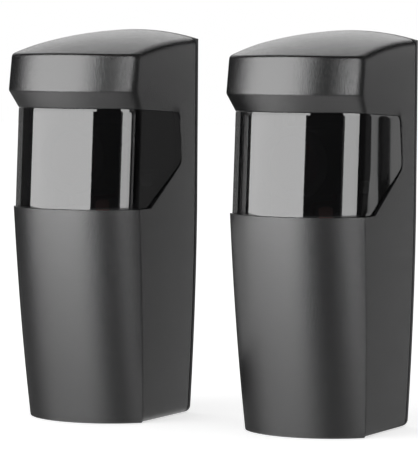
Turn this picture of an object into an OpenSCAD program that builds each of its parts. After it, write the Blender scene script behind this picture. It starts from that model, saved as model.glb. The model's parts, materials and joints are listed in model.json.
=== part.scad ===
// Pair of infrared beam sensor units, a transmitter and a receiver, standing side by side.
// Each unit: wall plate, snap-over cover with a smoked wrap-round window, swivelling optic, board.
// A unit's own frame has its back on y = 0, its front towards -Y and its base on z = 0.

/* [Pair] */
// Distance between the middles of the two units
pair_pitch = 80; // [70:1:160]

/* [Case] */
// Width of the case at its upper half
case_w = 47.4; // [46.4:0.2:56]
// How far each side draws in at the base
side_draw = 2.4; // [1.2:0.1:3]
// Height of the roof at the middle of its back edge
case_h = 130; // [127:0.5:140]
// Height at which the sides begin to draw in
draw_h = 80; // [74:1:95]
// Radius of the two bottom corners, seen from the front
foot_r = 2.6; // [1.6:0.1:4]
// Wall thickness of the cover
wall = 2.2; // [1.8:0.1:2.5]

/* [Front] */
// How far the front lies behind the visor's edge at the window seam
front_set = 2.5; // [1:0.1:4]
// How far the front draws back from the seam to the base
base_set = 11.2; // [7:0.1:13]
// How much larger the front's radius is than half the width, seen from above
nose_more = 3.3; // [2.6:0.1:6]
// Radius of the front, seen from the side
belly_r = 750; // [500:10:1500]

/* [Visor] */
// Depth of the visor at its lower edge
visor_d = 58.8; // [57.8:0.1:64]
// How much larger the visor's front radius is than half the width, seen from above
visor_more = 4.7; // [4:0.1:7]
// Radius of the visor's two front corners
visor_corner_r = 6; // [4:0.2:8]
// Height of the slanted face under the visor
visor_slant_h = 5.5; // [4:0.1:7]
// Lean of the visor's front, in degrees
visor_lean = 9.8; // [5:0.1:14]

/* [Roof] */
// Radius of the roof, from side to side
dome_r = 90; // [80:1:140]
// Radius of the roof, from back to front
roof_r = 230; // [190:5:400]
// How far behind the back the roof would be level
roof_level_y = 4.2; // [2:0.1:8]

/* [Window] */
// Height of the seam under the window
seam_h = 71; // [69:0.5:74]
// Height of the window
window_h = 33; // [31:0.5:35]
// Thickness of the window
window_t = 1.6; // [1.2:0.1:1.8]
// Ledge of the cover that the window rests on
ledge_t = 1.2; // [1:0.1:1.4]
// Width of that ledge
ledge_w = 1.5; // [1:0.1:2]
// How far the window lies behind the visor's edge at the seam
window_set = 2.9; // [1.4:0.1:4]
// How much larger the window's front radius is than half the width, seen from above
window_more = 2.6; // [2.3:0.1:3.3]
// Radius of the window's two front corners
window_corner_r = 7; // [5:0.2:8]
// How far the window's side faces lie inside the case's sides
window_inset = 0.9; // [0.4:0.1:1.2]
// Lean of the window's front, in degrees
window_lean = 3.5; // [2:0.1:5]
// Distance from the back to the window's rear edge, at its foot
window_back_y = 11.2; // [9:0.1:14]
// Distance from the back to where the window's slanted edge meets the seam
window_slant_y = 34; // [28:0.5:40]
// Height of the slanted edge
window_slant_h = 14.6; // [10:0.1:18]

/* [Wall plate] */
// Thickness of the plate
plate_t = 1.6; // [1.2:0.1:2.2]
// Depth of the rim inside the cover
rim_d = 5; // [4:0.1:6]
// Thickness of the rim
rim_t = 1.5; // [1.2:0.1:1.6]
// Thickness of the gasket
gasket_t = 0.6; // [0.4:0.1:1]
// Height of the lower wall screw slot
slot_h = 17; // [16:0.1:17.6]
// Distance from the upper wall screw slot to the roof
slot_top = 15; // [14:0.5:20]
// Width of a wall screw slot
slot_w = 4.4; // [3.6:0.1:5]
// Length of a wall screw slot
slot_l = 7; // [5.4:0.1:7.4]
// Bore of the plate for the cable grommet
cable_bore = 8.4; // [6:0.1:9]
// Opening of the cable grommet
cable_d = 5; // [3:0.1:5.6]

/* [Cover screw] */
// Diameter of the screw's shank
clamp_d = 3; // [2.5:0.1:3.4]
// Diameter of the screw's head
clamp_head_d = 5.6; // [5.2:0.1:6.2]
// Height of the screw's head
clamp_head_h = 1.8; // [1.4:0.1:2]
// Distance from the back to the screw's axis
clamp_y = 11.5; // [11:0.1:14]

/* [Optic] */
// Distance from the back to the swivel axis
swivel_y = 30; // [29.4:0.1:30.6]
// Radius of the turntable
turntable_r = 15; // [13.6:0.1:15.6]
// Outer radius of the lens barrel
barrel_r = 11; // [10:0.1:11.2]
// Radius of the lens
lens_r = 9.6; // [8:0.1:9.8]
// Distance from the swivel axis to the front of the lens ring
optic_reach = 15; // [14:0.1:15.4]
// Radius of the tilt pins
tilt_pin_r = 2; // [1.6:0.1:2.4]

/* [Main board] */
// Distance from the board's side edges to the case's sides
board_side = 6.7; // [6.4:0.1:7.2]
// Height of the board
board_h = 41; // [40.6:0.1:41.6]
// Thickness of the board
board_t = 1.6; // [1:0.1:2]
// Gap behind the board
standoff = 6; // [5:0.1:7]
// Pitch of the terminals
terminal_pitch = 3.8; // [3.5:0.1:3.8]

/* [Hidden] */

// Facets of round forms and of the very large radii
$fn = 96;
sweep_fn = 720;
// Steps of the window's and the visor's corners and noses
corner_steps = 5;
nose_steps = 26;
// Overrun of every cut
over = 1;
// Running clearance on a radius, and the gap between pieces that are put together
run_gap = 0.05;
seat_gap = 0.1;
// Gap round the rim inside the cover
rim_gap = 0.3;

// Heights along the case
visor_foot_h = seam_h + window_h;
visor_edge_h = visor_foot_h + visor_slant_h;
// Half widths
half_w = case_w / 2;
half_base = half_w - side_draw;
// Depths at the seam, at the base and of the window
front_d = visor_d - front_set;
base_d = front_d - base_set;
window_d = visor_d - window_set;
// Radii of the front, the visor and the window, seen from above
nose_r = half_w + nose_more;
visor_r = half_w + visor_more;
window_r = half_w + window_more;
// Distance between the two wall screw slots
slot_pitch = case_h - slot_top - slot_h;
// Radius of the side, seen from the front: upright at draw_h, half_base at the base
side_r = (draw_h * draw_h + side_draw * side_draw) / (2 * side_draw);
foot_lean = asin(draw_h / side_r);
// Least radius of the bottom corners inside, as a share of the outer one
inner_foot_share = 0.25;
// Back edge of the cover
cover_back = plate_t + gasket_t;

// Front of the lower body: centre of the side-view arc through the seam and the base
front_chord = norm([front_d - base_d, seam_h]);
arc_height = sqrt(belly_r * belly_r - front_chord * front_chord / 4);
belly_y = (base_d + front_d) / 2 - arc_height * seam_h / front_chord;
belly_z = seam_h / 2 + arc_height * (front_d - base_d) / front_chord;

// Thickness of the thin slices that the slant is blended between
slice_t = 0.01;
// How far the forms inside the case's outline, and the visor, reach past its sides
side_over = 0.2;
visor_over = 0.05;
// Cavity depth behind the window's face
window_depth = window_t + ledge_t;

// Pad of the cover round its screw, its counterbore and the web over that
pad_r = 4.5;
head_gap = 0.3;
pad_web = 1.2;
// Nut of the cover screw, in a pocket of the pad
nut_r = 3.1;
nut_t = 2.4;
nut_z = clamp_head_h + head_gap + pad_web;
pad_h = nut_z + nut_t;
// Tab of the plate that the cover screw is tightened against from below
tab_w = 10;
tab_t = 2.4;
tab_gap = 0.6;
tab_reach = 4.5;
tab_y = clamp_y + tab_reach;
tab_z = pad_h + tab_gap;
clamp_top = tab_z - head_gap;
// Hex socket of the cover screw
socket_r = 1.4;
socket_h = 1.2;

// Cable grommet in the plate
grommet_side = 9.5;
grommet_x = half_base - grommet_side;
grommet_z = 12;
grommet_lip = 1.2;
grommet_lip_t = 1;

// Small pan-head screws: shank, head and height
screw_r = 1.1;
screw_head_r = 2.1;
screw_head_h = 1.5;
screw_slot_w = 0.5;
screw_slot_h = 0.7;
boss_r = 2.7;

// Main board: width, foot, screw places and front face
board_w = case_w - 2 * board_side;
board_z = 21.5;
board_edge = 2.8;
board_back = plate_t + standoff;
board_front = board_back + board_t;
board_mid_z = board_z + board_h / 2;
board_screw_x = board_w / 2 - board_edge;
board_screw_z = board_h / 2 - board_edge;

// Optic bracket: deck, rear flange and its screws
deck_t = 2.5;
deck_drop = 5.6;
deck_z = seam_h - deck_drop;
deck_top = deck_z + deck_t;
deck_side = 7.7;
deck_front_side = 4.4;
deck_r = half_w - deck_front_side;
deck_w = case_w - 2 * deck_side;
bracket_boss_h = 4;
bracket_back = plate_t + bracket_boss_h;
flange_t = 2.5;
flange_side = 10.2;
flange_w = case_w - 2 * flange_side;
flange_h = 17;
bracket_screw_x = 9;
bracket_screw_rise = 11;
bracket_screw_z = deck_top + bracket_screw_rise;
bracket_boss_r = 3.2;

// Turntable: disc, hub, arms
disc_t = 2.4;
disc_z = deck_top + seat_gap;
disc_top = disc_z + disc_t;
hub_r = 5;
hub_bore_r = 2.2;
hub_drop = 2.4;
clip_t = 0.9;
clip_r = 7;
clip_mouth_share = 0.8;
groove_r = 4.2;
arm_gap = 1.4;
arm_in = barrel_r + arm_gap;
arm_t = 2.4;
arm_w = 10;
optic_h = seam_h + window_h / 2;

// Lens barrel
barrel_tail = 12;
barrel_wall = 1.2;
tail_wall = 1.6;
ring_t = 1.5;
ring_skirt = 3;
ring_skirt_t = 0.9;
ring_lip = 1;
lens_rim_t = 1.8;
lens_rise = 1.3;
trunnion_r = 3.4;
peg_r = 0.9;
peg_x = 6.5;
peg_h = 2;
// Emitter or photodiode
diode_r = 2.5;
diode_rim = 0.4;
diode_rim_t = 1;
emitter_l = 5;
photodiode_l = 3;
// Board behind the barrel
optic_board_r = 9;
optic_board_t = 1.2;
optic_board_y = swivel_y - barrel_tail - seat_gap;

// Leads
lead_r = 0.8;
lead_bend = 1.8;
plug_w = 5;
plug_h = 4;
plug_d = 4.2;
plug_drop = 5;
plug_z = board_z + board_h - plug_drop;
lead_rise = 0.6;
lead_top = disc_top + lead_rise;
head_lead_back = 17;
head_lead_gap = 0.6;

// Terminal block
terminal_h = 8;
terminal_d = 10;
terminal_rise = 0.6;
terminal_z = board_z + terminal_rise;
terminal_end = 0.6;
terminal_well_r = 1.4;
terminal_well_d = 3;
terminal_hole_r = 0.9;
terminal_hole_d = 6;
terminal_entry_w = 2.4;
terminal_entry_h = 3;
tx_terminals = 3;
rx_terminals = 5;

// Capacitor
capacitor_r = 4;
capacitor_h = 11;
capacitor_side = 7.4;
capacitor_x = board_w / 2 - capacitor_side;
capacitor_rise = 15;
capacitor_z = board_z + capacitor_rise;
crimp_d = 0.4;
crimp_h = 1.2;

// Chip
chip_w = 9.8;
chip_h = 4;
chip_t = 1.5;
chip_lift = 0.2;
chip_side = 13.8;
chip_x = board_w / 2 - chip_side;
chip_rise = 5.5;
chip_z = board_mid_z + chip_rise;
leg_w = 0.5;
leg_l = 1;
leg_t = 0.3;
leg_pitch = 2.2;
legs = 4;

// Relay
relay_w = 10.4;
relay_h = 15.4;
relay_d = 11.6;
relay_side = 8;
relay_x = relay_side - board_w / 2;
relay_drop = 0.5;
relay_z = board_mid_z - relay_drop;
relay_foot = 0.4;

// Trimmer and its rotor
trimmer_w = 6.6;
trimmer_d = 4.6;
trimmer_side = 9;
trimmer_x = trimmer_side - board_w / 2;
trimmer_drop = 6.4;
trimmer_z = board_z + board_h - trimmer_drop;
rotor_r = 2.4;
rotor_t = 1.6;
rotor_slot_w = 0.6;
rotor_slot_h = 0.8;
rotor_slot_share = 0.7;

// Range pins and the jumper that bridges two of them
pin_pitch = 2.54;
pin_w = 0.64;
pins = 3;
pin_base_t = 2.5;
jumper_h = 6;
jumper_wall = 0.8;
pin_l = pin_base_t + jumper_h - jumper_wall;
pins_side = 9;
pins_x = pins_side - board_w / 2;
pins_rise = 2;
pins_z = board_mid_z + pins_rise;

// Status lamp on the deck
lamp_w = 4.4;
lamp_d = 2.2;
lamp_h = 6.2;
lamp_angle = 37;
lamp_reach = 18.4;
lamp_edge = 0.8;

// Tamper switch, its plunger and the post of the cover that holds it in
tamper_w = 6;
tamper_d = 4;
tamper_side = 4.4;
tamper_x = board_w / 2 - tamper_side;
tamper_rise = 5;
tamper_z = board_mid_z + tamper_rise;
plunger_r = 1.4;
plunger_out = 2.6;
plunger_in = 1.4;
plunger_room = 1.3;
post_r = 2.4;

// Place of each unit: side by side, the pair's middle on the origin
module transmitter() {
    translate([-pair_pitch / 2, visor_d / 2, 0]) children();
}

module receiver() {
    translate([pair_pitch / 2, visor_d / 2, 0]) children();
}

// Turns a shape drawn upwards so that it points to the front, starting at depth d
module forward(x, d, z) {
    translate([x, -d, z]) rotate([90, 0, 0]) children();
}

// Points of an arc seen from above, between two angles from the front
function arc(x, y, r, from, to, steps, first = 0) = [
    for (i = [first : steps])
        let (angle = from + (to - from) * i / steps)
        [x + r * sin(angle), y - r * cos(angle)]
];

// Seen from above: a nose of radius r in front, two corners of radius c, and sides
// at half width nose_w, which widen to side_w towards the back
module plan(side_w, nose_w, depth, r, c) {
    centre_y = r - depth;
    corner_x = nose_w - c;
    corner_y = centre_y - sqrt((r - c) * (r - c) - corner_x * corner_x);
    meet = asin(corner_x / (r - c));
    polygon(concat(
        [[-side_w, front_d], [-side_w, -window_back_y], [-nose_w, -swivel_y]],
        arc(-corner_x, corner_y, c, -90, -meet, corner_steps),
        arc(0, centre_y, r, -meet, meet, nose_steps, 1),
        arc(corner_x, corner_y, c, meet, 90, corner_steps, 1),
        [[nose_w, -swivel_y], [side_w, -window_back_y], [side_w, front_d]]
    ));
}

// A column of its children's plan that leans back by lean degrees, cut level from low
// to high, whose front stands at depth where the height is at
module leaning(lean, depth, at, low, high) {
    tail = (front_d + depth) * tan(lean) + over;
    intersection() {
        translate([0, -depth, at])
            rotate([-lean, 0, 0])
                translate([0, depth, low - at - tail])
                    linear_extrude(high - low + 2 * tail) children();
        translate([-half_w - over, -depth - over, low])
            cube([case_w + 2 * over, depth + over, high - low]);
    }
}

// Column of the window's faces, drawn in by t
module window_column(t, low, high) {
    rear_inset = window_inset * window_back_y / swivel_y;
    leaning(window_lean, window_d, seam_h, low, high)
        plan(half_w - rear_inset - t, half_w - window_inset - t, window_d - t,
            window_r - t, window_corner_r - t);
}

// Column of the visor's faces, drawn in by t
module visor_column(t, low, high) {
    leaning(visor_lean, visor_d, visor_edge_h, low, high)
        plan(half_w + visor_over - t, half_w + visor_over - t, visor_d - t,
            visor_r - t, visor_corner_r - t);
}

// Upright strip at the back of the case, a little wider than the case
module back_strip(depth, low, high) {
    translate([-half_w - side_over, -depth, low])
        cube([case_w + 2 * side_over, depth, high - low]);
}

// Solid swept by a disc of radius r round a level axis, with its outer edge at sweep
module bowed(sweep, r, t) {
    rotate([0, 90, 0])
        rotate_extrude($fn = sweep_fn)
            intersection() {
                union() {
                    translate([sweep - r, 0]) circle(r = r - t);
                    translate([0, -r]) square([sweep - r, 2 * r]);
                }
                translate([0, -half_w - side_over]) square([sweep, case_w + 2 * side_over]);
            }
}

// Inside of the bowed front of the lower body, drawn in by t, below a height
module belly(t, high) {
    intersection() {
        translate([0, -belly_y, belly_z]) bowed(belly_r, nose_r, t);
        translate([-half_w - over, -visor_d, -over])
            cube([case_w + 2 * over, visor_d + over, high + over]);
    }
}

// Inside of the roof, drawn in by t
module under_roof(t) {
    translate([0, roof_level_y, case_h - roof_r]) bowed(roof_r, dome_r, t);
}

// The case seen from the front, drawn in by t, with its roof left open
module face_outline(t) {
    w = half_w - t;
    corner_r = max(foot_r - t, foot_r * inner_foot_share);
    corner_x = half_base - (t + corner_r) * (1 - sin(foot_lean)) / cos(foot_lean);
    foot_x = corner_x + corner_r * cos(foot_lean);
    foot_z = t + corner_r * (1 - sin(foot_lean));
    translate([-w, draw_h]) square([2 * w, case_h - draw_h]);
    difference() {
        intersection() {
            translate([half_w - side_r, draw_h]) circle(r = side_r - t, $fn = sweep_fn);
            translate([side_r - half_w, draw_h]) circle(r = side_r - t, $fn = sweep_fn);
            translate([-w, t]) square([2 * w, draw_h - t]);
        }
        for (turn = [0, 1])
            mirror([turn, 0])
                difference() {
                    polygon([
                        [corner_x, t - over], [foot_x + over, t - over],
                        [foot_x + over, foot_z], [foot_x, foot_z],
                        [corner_x, t + corner_r]
                    ]);
                    translate([corner_x, t + corner_r]) circle(r = corner_r);
                }
    }
}

// The case between two depths from its back, drawn in by t, with its roof
module case_slice(t, near, far) {
    intersection() {
        translate([0, -near, 0]) rotate([90, 0, 0]) linear_extrude(far - near) face_outline(t);
        under_roof(t);
    }
}

// The window's outline seen from the side, as [distance from the back, height]
window_outline = [
    [window_slant_y, seam_h],
    [visor_d + over, seam_h],
    [visor_d + over, visor_foot_h],
    [window_back_y + (window_h - window_slant_h) * tan(2 * window_lean), visor_foot_h],
    [window_back_y, seam_h + window_slant_h]
];

// An outline whose corners run anticlockwise, drawn in by t along its edges
function edge_normal(a, b) = [a[1] - b[1], b[0] - a[0]] / norm(b - a);
function drawn_in(points, t) = [
    for (i = [0 : len(points) - 1])
        let (
            last = points[(i + len(points) - 1) % len(points)],
            next = points[(i + 1) % len(points)],
            n = edge_normal(last, points[i]),
            m = edge_normal(points[i], next)
        )
        points[i] + t * (n + m) / (1 + n * m)
];

// The window's outline, drawn in by t, right through the case from side to side
module window_prism(t) {
    rotate([90, 0, -90])
        translate([0, 0, -half_w - over])
            linear_extrude(case_w + 2 * over) polygon(drawn_in(window_outline, t));
}

// Slanted face between the window's head and the visor's lower edge
module visor_slant() {
    hull() {
        window_column(-seat_gap, visor_foot_h, visor_foot_h + slice_t);
        back_strip(window_back_y, visor_foot_h, visor_edge_h);
        visor_column(0, visor_edge_h - slice_t, visor_edge_h);
    }
}

// Cover: outer form, less its cavity round the pad and the post, less the window's rebate
module cover() {
    color("#26272a") difference() {
        intersection() {
            case_slice(0, cover_back, visor_d + over);
            union() {
                belly(0, seam_h);
                window_column(0, seam_h, visor_foot_h);
                back_strip(window_slant_y, seam_h, visor_foot_h);
                visor_slant();
                visor_column(0, visor_edge_h, case_h);
            }
        }
        difference() {
            intersection() {
                case_slice(wall, cover_back - over, visor_d);
                union() {
                    belly(wall, seam_h - wall);
                    back_strip(plate_t + rim_d + rim_gap, seam_h - wall, visor_edge_h);
                    window_column(window_depth, seam_h - wall, visor_edge_h);
                    visor_column(wall, visor_edge_h, case_h);
                }
            }
            translate([0, -clamp_y, 0]) cylinder(r = pad_r, h = pad_h);
            forward(tamper_x, board_front + tamper_d + plunger_out + run_gap, tamper_z)
                cylinder(r = post_r, h = visor_d);
        }
        difference() {
            window_prism(0);
            window_column(window_t, seam_h - over, visor_foot_h + over);
        }
        window_prism(ledge_w);
        translate([0, -clamp_y, -over])
            cylinder(d = clamp_head_d + 2 * head_gap, h = over + clamp_head_h + head_gap);
        translate([0, -clamp_y, 0]) cylinder(d = clamp_d + 2 * run_gap, h = pad_h + over);
        translate([0, -clamp_y, nut_z]) cylinder(r = nut_r + run_gap, h = nut_t + over, $fn = 6);
    }
}

// Window: a smoked shell that wraps round the front and both sides
module window() {
    color("#0b0b0d", 0.9) difference() {
        intersection() {
            window_column(0, seam_h, visor_foot_h);
            window_prism(seat_gap);
        }
        window_column(window_t - run_gap, seam_h - over, visor_foot_h + over);
    }
}

// Plate that is screwed to the wall, with its rim, tab and bosses
module back_plate() {
    color("#232427") difference() {
        union() {
            case_slice(0, 0, plate_t);
            difference() {
                case_slice(wall + rim_gap, plate_t, plate_t + rim_d);
                case_slice(wall + rim_gap + rim_t, plate_t, plate_t + rim_d + over);
            }
            translate([-tab_w / 2, -tab_y, tab_z]) cube([tab_w, tab_y - plate_t, tab_t]);
            for (x = [-1, 1], z = [-1, 1])
                forward(x * board_screw_x, plate_t, board_mid_z + z * board_screw_z)
                    cylinder(r = boss_r, h = standoff);
            for (x = [-1, 1])
                forward(x * bracket_screw_x, plate_t, bracket_screw_z)
                    cylinder(r = bracket_boss_r, h = bracket_boss_h);
        }
        for (z = [slot_h, slot_h + slot_pitch])
            forward(0, -over, z) linear_extrude(plate_t + 2 * over) slot_outline();
        forward(grommet_x, -over, grommet_z) cylinder(d = cable_bore, h = plate_t + 2 * over);
        for (x = [-1, 1], z = [-1, 1])
            forward(x * board_screw_x, plate_t, board_mid_z + z * board_screw_z)
                cylinder(r = screw_r + run_gap, h = standoff + over);
        for (x = [-1, 1])
            forward(x * bracket_screw_x, plate_t, bracket_screw_z)
                cylinder(r = screw_r + run_gap, h = bracket_boss_h + over);
    }
}

// Outline of an upright wall screw slot
module slot_outline() {
    half = (slot_l - slot_w) / 2;
    for (z = [-half, half])
        translate([0, z]) circle(d = slot_w);
    translate([-slot_w / 2, -half]) square([slot_w, 2 * half]);
}

// Gasket between the plate and the cover's back edge
module gasket() {
    color("#111213") difference() {
        case_slice(gasket_t, plate_t, cover_back);
        case_slice(wall, plate_t - over, cover_back + over);
    }
}

// Rubber grommet, its groove on the plate's edge
module cable_grommet() {
    color("#18191b")
        forward(grommet_x, 0, grommet_z)
            difference() {
                union() {
                    cylinder(d = cable_bore - 2 * run_gap, h = plate_t);
                    translate([0, 0, plate_t])
                        cylinder(r = cable_bore / 2 + grommet_lip, h = grommet_lip_t);
                }
                translate([0, 0, -over]) cylinder(d = cable_d, h = plate_t + grommet_lip_t + 2 * over);
            }
}

// Captive screw under the cover, its end just below the plate's tab
module cover_screw() {
    color("#8d9096") translate([0, -clamp_y, 0]) difference() {
        union() {
            cylinder(d = clamp_head_d, h = clamp_head_h);
            cylinder(d = clamp_d, h = clamp_top);
        }
        translate([0, 0, -over]) cylinder(r = socket_r, h = socket_h + over, $fn = 6);
    }
}

// Nut in the pad, on the cover screw
module cover_nut() {
    color("#a5a8ad") translate([0, -clamp_y, nut_z]) difference() {
        cylinder(r = nut_r, h = nut_t, $fn = 6);
        translate([0, 0, -over]) cylinder(d = clamp_d + 2 * run_gap, h = nut_t + 2 * over);
    }
}

// Pan-head screw that points to the back, its head's seat at depth d
module small_screw(x, d, z, grip) {
    forward(x, d - grip, z) difference() {
        union() {
            cylinder(r = screw_r, h = grip + screw_head_h);
            translate([0, 0, grip]) cylinder(r = screw_head_r, h = screw_head_h);
        }
        translate([-screw_head_r - over, -screw_slot_w / 2, grip + screw_head_h - screw_slot_h])
            cube([2 * (screw_head_r + over), screw_slot_w, screw_slot_h + over]);
    }
}

// Bracket with the deck that carries the turntable
module optic_bracket() {
    color("#303236") difference() {
        union() {
            intersection() {
                union() {
                    translate([-deck_w / 2, -swivel_y, deck_z])
                        cube([deck_w, swivel_y - bracket_back, deck_t]);
                    translate([0, -swivel_y, deck_z]) cylinder(r = deck_r, h = deck_t);
                }
                translate([-deck_w / 2, -visor_d, deck_z])
                    cube([deck_w, visor_d - bracket_back, deck_t]);
            }
            translate([-flange_w / 2, -bracket_back - flange_t, deck_z])
                cube([flange_w, flange_t, flange_h]);
        }
        translate([0, -swivel_y, deck_z - over])
            cylinder(r = hub_r + run_gap, h = deck_t + 2 * over);
        for (x = [-1, 1])
            forward(x * bracket_screw_x, bracket_back - over, bracket_screw_z)
                cylinder(r = screw_r + seat_gap, h = flange_t + 2 * over);
    }
}

// Two screws of the bracket
module bracket_screws() {
    color("#9a9da3")
        for (x = [-1, 1])
            small_screw(x * bracket_screw_x, bracket_back + flange_t, bracket_screw_z,
                flange_t + bracket_boss_h - seat_gap);
}

// Turntable with two arms that hold the barrel by its pins
module turntable() {
    color("#2b2d31") difference() {
        union() {
            translate([0, -swivel_y, disc_z]) cylinder(r = turntable_r, h = disc_t);
            translate([0, -swivel_y, deck_z - hub_drop])
                cylinder(r = hub_r, h = disc_z - deck_z + hub_drop);
            for (side = [0, 1])
                mirror([side, 0, 0]) {
                    translate([arm_in, -swivel_y - arm_w / 2, disc_top - over])
                        cube([arm_t, arm_w, optic_h - disc_top + over]);
                    translate([arm_in, -swivel_y, optic_h])
                        rotate([0, 90, 0]) cylinder(d = arm_w, h = arm_t);
                }
        }
        translate([0, -swivel_y, deck_z - hub_drop - over])
            cylinder(r = hub_bore_r, h = disc_top - deck_z + hub_drop + 2 * over);
        translate([0, -swivel_y, deck_z - seat_gap - clip_t - run_gap]) difference() {
            cylinder(r = hub_r + over, h = clip_t + 2 * run_gap);
            translate([0, 0, -over]) cylinder(r = groove_r, h = clip_t + 2 * over);
        }
        translate([-arm_in - arm_t - over, -swivel_y, optic_h])
            rotate([0, 90, 0])
                cylinder(r = tilt_pin_r + run_gap, h = 2 * (arm_in + arm_t + over));
    }
}

// Clip in the hub's groove, under the deck
module turntable_clip() {
    color("#b0b3b8") translate([0, -swivel_y, deck_z - seat_gap - clip_t]) difference() {
        cylinder(r = clip_r, h = clip_t);
        translate([0, 0, -over]) cylinder(r = groove_r + run_gap, h = clip_t + 2 * over);
        translate([-groove_r * clip_mouth_share, 0, -over])
            cube([2 * groove_r * clip_mouth_share, clip_r + over, clip_t + 2 * over]);
    }
}

// Barrel, its two tilt pins and the pegs of its board
module barrel() {
    front = swivel_y + optic_reach - ring_t;
    length = front - swivel_y + barrel_tail;
    color("#1d1e21") {
        difference() {
            union() {
                forward(0, swivel_y - barrel_tail, optic_h) cylinder(r = barrel_r, h = length);
                for (side = [0, 1])
                    mirror([side, 0, 0])
                        translate([barrel_r - barrel_wall, -swivel_y, optic_h])
                            rotate([0, 90, 0])
                                cylinder(r = trunnion_r, h = arm_in - seat_gap - barrel_r + barrel_wall);
                for (side = [0, 1])
                    mirror([side, 0, 0])
                        translate([barrel_r - barrel_wall, -swivel_y, optic_h])
                            rotate([0, 90, 0])
                                cylinder(r = tilt_pin_r, h = arm_in + arm_t - barrel_r + barrel_wall);
                for (x = [-peg_x, peg_x])
                    forward(x, swivel_y - barrel_tail - peg_h, optic_h)
                        cylinder(r = peg_r, h = peg_h + tail_wall);
            }
            forward(0, swivel_y - barrel_tail + tail_wall, optic_h)
                cylinder(r = lens_r - barrel_wall, h = length);
            forward(0, front - lens_rim_t - seat_gap, optic_h)
                cylinder(r = lens_r + run_gap, h = lens_rim_t + over);
            forward(0, swivel_y - barrel_tail - over, optic_h)
                cylinder(r = diode_r + run_gap, h = tail_wall + 2 * over);
            forward(0, swivel_y - barrel_tail - over, optic_h)
                cylinder(r = diode_r + diode_rim + run_gap, h = diode_rim_t + over);
        }
    }
}

// Lens: a rim with a shallow dome in front
module lens() {
    face = swivel_y + optic_reach - ring_t;
    dome_base = lens_r - ring_lip - seat_gap;
    dome_radius = (dome_base * dome_base + lens_rise * lens_rise) / (2 * lens_rise);
    color("#3a1416", 0.8) {
        forward(0, face - lens_rim_t, optic_h) cylinder(r = lens_r, h = lens_rim_t);
        intersection() {
            forward(0, face - dome_radius + lens_rise, optic_h) sphere(r = dome_radius);
            forward(0, face - seat_gap, optic_h) cylinder(r = dome_base, h = lens_rise + over);
        }
    }
}

// Ring that holds the lens, with a skirt round the barrel
module lens_ring() {
    face = swivel_y + optic_reach - ring_t;
    color("#2a2b2f") difference() {
        forward(0, face - ring_skirt, optic_h)
            cylinder(r = barrel_r + run_gap + ring_skirt_t, h = ring_skirt + ring_t);
        forward(0, face - ring_skirt - over, optic_h)
            cylinder(r = barrel_r + run_gap, h = ring_skirt + over);
        forward(0, face - over, optic_h) cylinder(r = lens_r - ring_lip, h = ring_t + 2 * over);
    }
}

// Round diode with a rim and a domed nose, pointing to the front
module diode(length) {
    forward(0, swivel_y - barrel_tail, optic_h) {
        cylinder(r = diode_r + diode_rim, h = diode_rim_t);
        cylinder(r = diode_r, h = length);
        translate([0, 0, length]) sphere(r = diode_r);
    }
}

module emitter() {
    color("#4a4f63", 0.8) diode(emitter_l);
}

module photodiode() {
    color("#15151a") diode(photodiode_l);
}

// Board behind the barrel, on two pegs
module optic_board() {
    color("#1c5b34") difference() {
        forward(0, optic_board_y - optic_board_t, optic_h)
            cylinder(r = optic_board_r, h = optic_board_t);
        for (x = [-peg_x, peg_x])
            forward(x, optic_board_y - optic_board_t - over, optic_h)
                cylinder(r = peg_r + run_gap, h = optic_board_t + 2 * over);
    }
}

// Round lead along square-cornered [distance from the back, height] points, in the
// plane of the unit's middle, with its corners bent at lead_bend
module lead(points) {
    function heading(i) = (points[i + 1] - points[i]) / norm(points[i + 1] - points[i]);
    last = len(points) - 1;
    rotate([90, 0, -90]) {
        for (i = [0 : last - 1]) {
            dir = heading(i);
            near = points[i] + dir * (i == 0 ? 0 : lead_bend);
            far = points[i + 1] - dir * (i == last - 1 ? 0 : lead_bend);
            translate([near[0], near[1], 0])
                rotate([0, 90, atan2(dir[1], dir[0])])
                    cylinder(r = lead_r, h = norm(far - near));
        }
        for (i = [1 : last - 1]) {
            a = heading(i - 1);
            b = heading(i);
            centre = points[i] + lead_bend * (b - a);
            turn = a[0] * b[1] - a[1] * b[0];
            translate([centre[0], centre[1], 0])
                rotate([0, 0, atan2(a[1], a[0]) - (turn > 0 ? 90 : 0)])
                    rotate_extrude(angle = 90) translate([lead_bend, 0]) circle(r = lead_r);
        }
    }
}

// Lead from the main board up through the turntable's hub, with its plug
module optic_lead() {
    color("#7a1f1f") {
        translate([-plug_w / 2, -board_front - plug_d, plug_z - plug_h / 2])
            cube([plug_w, plug_d, plug_h]);
        lead([[board_front + plug_d - over, plug_z], [swivel_y, plug_z], [swivel_y, lead_top]]);
    }
}

// Lead from the hub round the barrel's tail to its board
module head_lead() {
    back = swivel_y - head_lead_back;
    color("#7a1f1f")
        lead([
            [swivel_y, lead_top + seat_gap],
            [swivel_y, lead_top + seat_gap + lead_bend + lead_r],
            [back, lead_top + seat_gap + lead_bend + lead_r],
            [back, optic_h],
            [optic_board_y - optic_board_t - head_lead_gap, optic_h]
        ]);
}

// Main board
module main_board() {
    color("#1c5b34") difference() {
        translate([-board_w / 2, -board_front, board_z]) cube([board_w, board_t, board_h]);
        for (x = [-1, 1], z = [-1, 1])
            forward(x * board_screw_x, board_back - over, board_mid_z + z * board_screw_z)
                cylinder(r = screw_r + seat_gap, h = board_t + 2 * over);
    }
}

module board_screws() {
    color("#9a9da3")
        for (x = [-1, 1], z = [-1, 1])
            small_screw(x * board_screw_x, board_front, board_mid_z + z * board_screw_z,
                board_t + standoff - seat_gap);
}

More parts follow.
